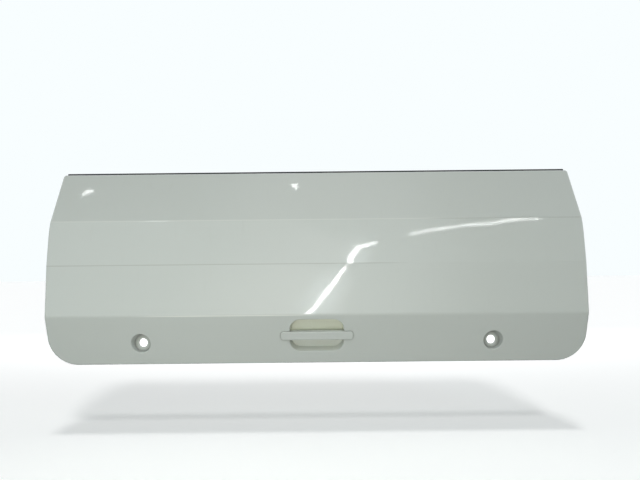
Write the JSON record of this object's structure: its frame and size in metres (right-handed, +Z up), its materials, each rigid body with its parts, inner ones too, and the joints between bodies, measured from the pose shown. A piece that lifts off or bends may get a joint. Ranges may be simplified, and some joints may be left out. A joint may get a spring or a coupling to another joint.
{
  "type": "caravan gas locker door",
  "caption": "Top-hung moulded plastic locker door for a caravan, with horizontal creases, recessed lock cups, a grip bar over a hand recess and an extruded hinge rail.",
  "frame": {"origin": "middle of the wall rail's flat back face, where the hinge is screwed to the caravan", "axes": "X across the door, +Y towards the caravan's wall, +Z up; the outside of the door faces -Y"},
  "size_m": [1.65, 0.1436, 0.6041],
  "materials": {
    "gloss_skin": "glossy pale grey-white moulded plastic",
    "liner_skin": "satin pale grey formed sheet",
    "pan_plastic": "slightly yellowed moulded plastic",
    "black_rail": "black powder-coated extruded aluminium",
    "black_plastic": "black moulded plastic",
    "seal_rubber": "black foam rubber",
    "zinc_steel": "zinc-plated steel"
  },
  "bodies": {
    "wall_rail": {"wall_hinge_rail": "black_rail", "rail_end_cap_right": "black_plastic", "rail_end_cap_left": "black_plastic"},
    "door": {"door_hinge_rail": "black_rail", "outer_skin": "gloss_skin", "inner_skin": "liner_skin", "perimeter_seal": "seal_rubber", "handle_pan": "pan_plastic", "grip_bar": "gloss_skin", "strut_bracket_right": "zinc_steel", "strut_bracket_left": "zinc_steel"}
  },
  "joints": [
    {"name": "door_hinge", "type": "hinge", "parent": "wall_rail", "child": "door", "pos_m": [0, -0.016, 0.011], "axis": [-1, 0, 0], "range_deg": [0, 100]}
  ]
}
